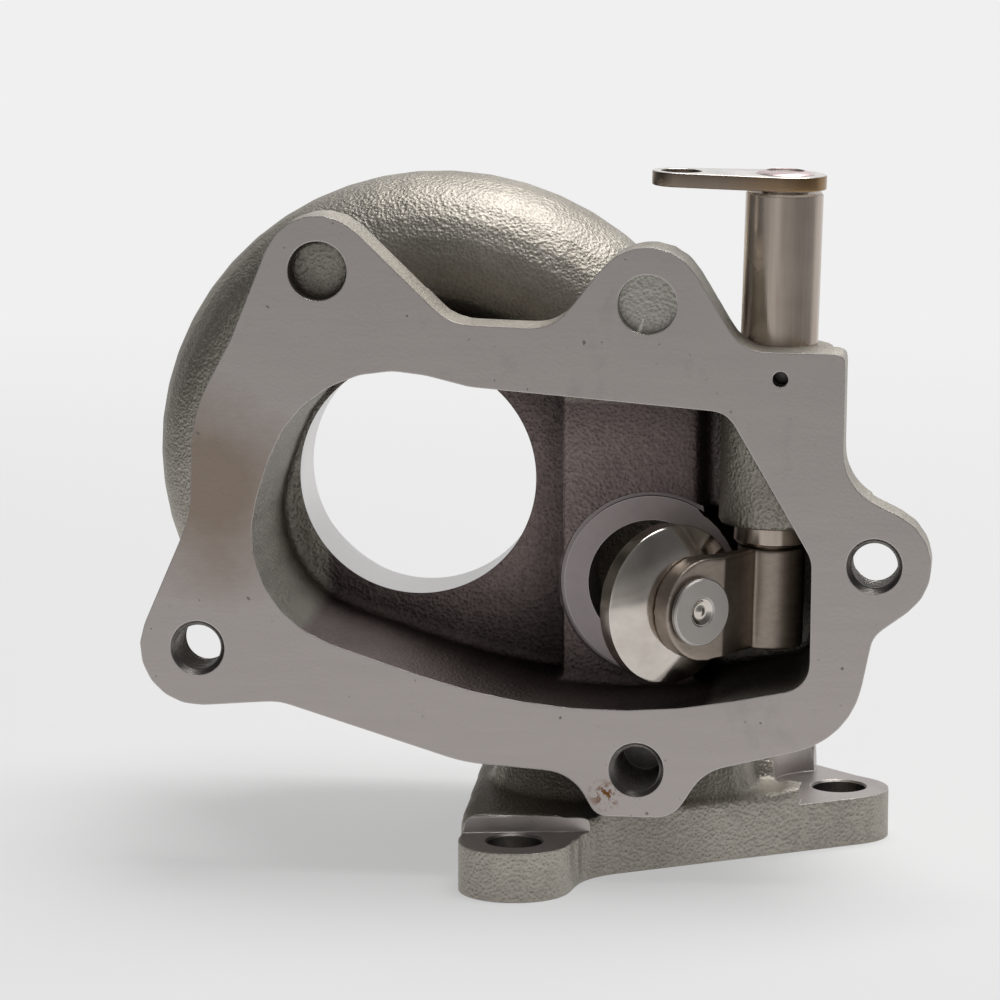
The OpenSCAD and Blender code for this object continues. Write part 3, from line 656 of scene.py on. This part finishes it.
def buildCamera():
    a, e = math.radians(stage["azimuth"]), math.radians(stage["elevation"])
    back = Vector((math.sin(a) * math.cos(e), -math.cos(a) * math.cos(e), math.sin(e)))
    right = Vector((math.cos(a), math.sin(a), 0))
    up = back.cross(right)
    middle = stage["frame"] / 2
    u = (stage["aim"][0] - middle) / stage["focal"]
    v = -(stage["aim"][1] - middle) / stage["focal"]
    spot = -stage["distance"] * (u * right + v * up - back)
    data = bpy.data.cameras.new("camera")
    data.sensor_width = stage["sensor"]
    data.lens = stage["focal"] / stage["frame"] * stage["sensor"]
    data.clip_end = 20
    camera = bpy.data.objects.new("camera", data)
    camera.matrix_world = Matrix.Translation(spot) @ Matrix((right, up, back)).transposed().to_4x4()
    bpy.context.scene.collection.objects.link(camera)
    bpy.context.scene.camera = camera


def buildLamp(spot, target, size, power):
    data = bpy.data.lights.new("keyLight", "AREA")
    data.shape = "RECTANGLE"
    data.size, data.size_y = size
    data.energy = power
    lamp = bpy.data.objects.new("keyLight", data)
    lamp.location = spot
    lamp.rotation_euler = (Vector(target) - Vector(spot)).to_track_quat("-Z", "Y").to_euler()
    bpy.context.scene.collection.objects.link(lamp)


class Studio(Finish):
    def __init__(self, tree, output):
        self.tree = tree
        self.place = Value(self, tree.nodes.new("ShaderNodeTexCoord").outputs[output])
        self.x = self.node("SeparateXYZ", {}, self.place, out=0)
        self.y = self.node("SeparateXYZ", {}, self.place, out=1)
        self.z = self.node("SeparateXYZ", {}, self.place, out=2)

    def faded(self, value, start, end, **levels):
        settings = {"interpolation_type": "SMOOTHSTEP"}
        return self.node("MapRange", settings, value, From_Min=start, From_Max=end, **levels)

    def roundAbout(self):
        # how bright the room is in each direction
        turn = self.node("Math", {"operation": "ARCTAN2"}, self.x, 0 - self.y)
        return self.ramp(turn / math.tau + 0.5, stage["room"], "EASE")


def buildFloor():
    # near the object the floor takes its shadow, far behind it fades into the background
    bm = bmesh.new()
    bmesh.ops.create_grid(bm, x_segments=1, y_segments=1, size=6)
    bmesh.ops.translate(bm, vec=(0, 0, cadBox[0][2]), verts=bm.verts)
    material = bpy.data.materials.new("paleFloor")
    material.use_nodes = True
    shader = material.node_tree.nodes["Principled BSDF"]
    shader.inputs["Base Color"].default_value = (*stage["floor"], 1)
    shader.inputs["Roughness"].default_value = 0.9
    shader.inputs["Specular IOR Level"].default_value = 0
    meshPiece("floor", bm, material)
    f = Studio(material.node_tree, "Object")
    far = f.faded(f.y, 0.1, 0.8)
    away = f.faded(f.vector("LENGTH", f.place), 0.28, 0.6)
    glossy = f.node("LightPath", {}, out="Is Glossy Ray")
    camera = f.node("LightPath", {}, out="Is Camera Ray")
    pale = f.node("Emission", {}, Color=stage["paper"], Strength=1.0)
    room = f.node("Emission", {}, Strength=f.roundAbout())
    lit = f.node("MixShader", {}, glossy * 0.85 + camera * 0.5, Value(f, shader.outputs[0]), pale)
    whole = f.node("MixShader", {}, away * glossy, f.node("MixShader", {}, far, lit, pale), room)
    f.tree.links.new(whole.socket, f.tree.nodes["Material Output"].inputs[0])


def buildWorld():
    # the room round the object, darker higher up; the camera sees a plain pale background
    world = bpy.data.worlds.new("studio")
    world.use_nodes = True
    bpy.context.scene.world = world
    f = Studio(world.node_tree, "Generated")
    # the pale sweep behind the object rises higher than the dark room in front of it
    sweep = f.faded(f.y, 0.1, 0.8, To_Min=0.0, To_Max=0.45)
    height = f.faded(f.z - sweep, 0.02, 0.4, To_Min=1.0, To_Max=stage["above"])
    seen = f.node("MixShader", {}, f.node("LightPath", {}, out="Is Camera Ray"),
                  f.node("Background", {}, Strength=f.roundAbout() * height),
                  f.node("Background", {}, stage["paper"], 1.0))
    f.tree.links.new(seen.socket, f.tree.nodes["World Output"].inputs[0])


buildCamera()
buildLamp(**stage["lamp"])
buildFloor()
buildWorld()
bpy.context.scene.view_settings.view_transform = "Standard"
print("stage ready")
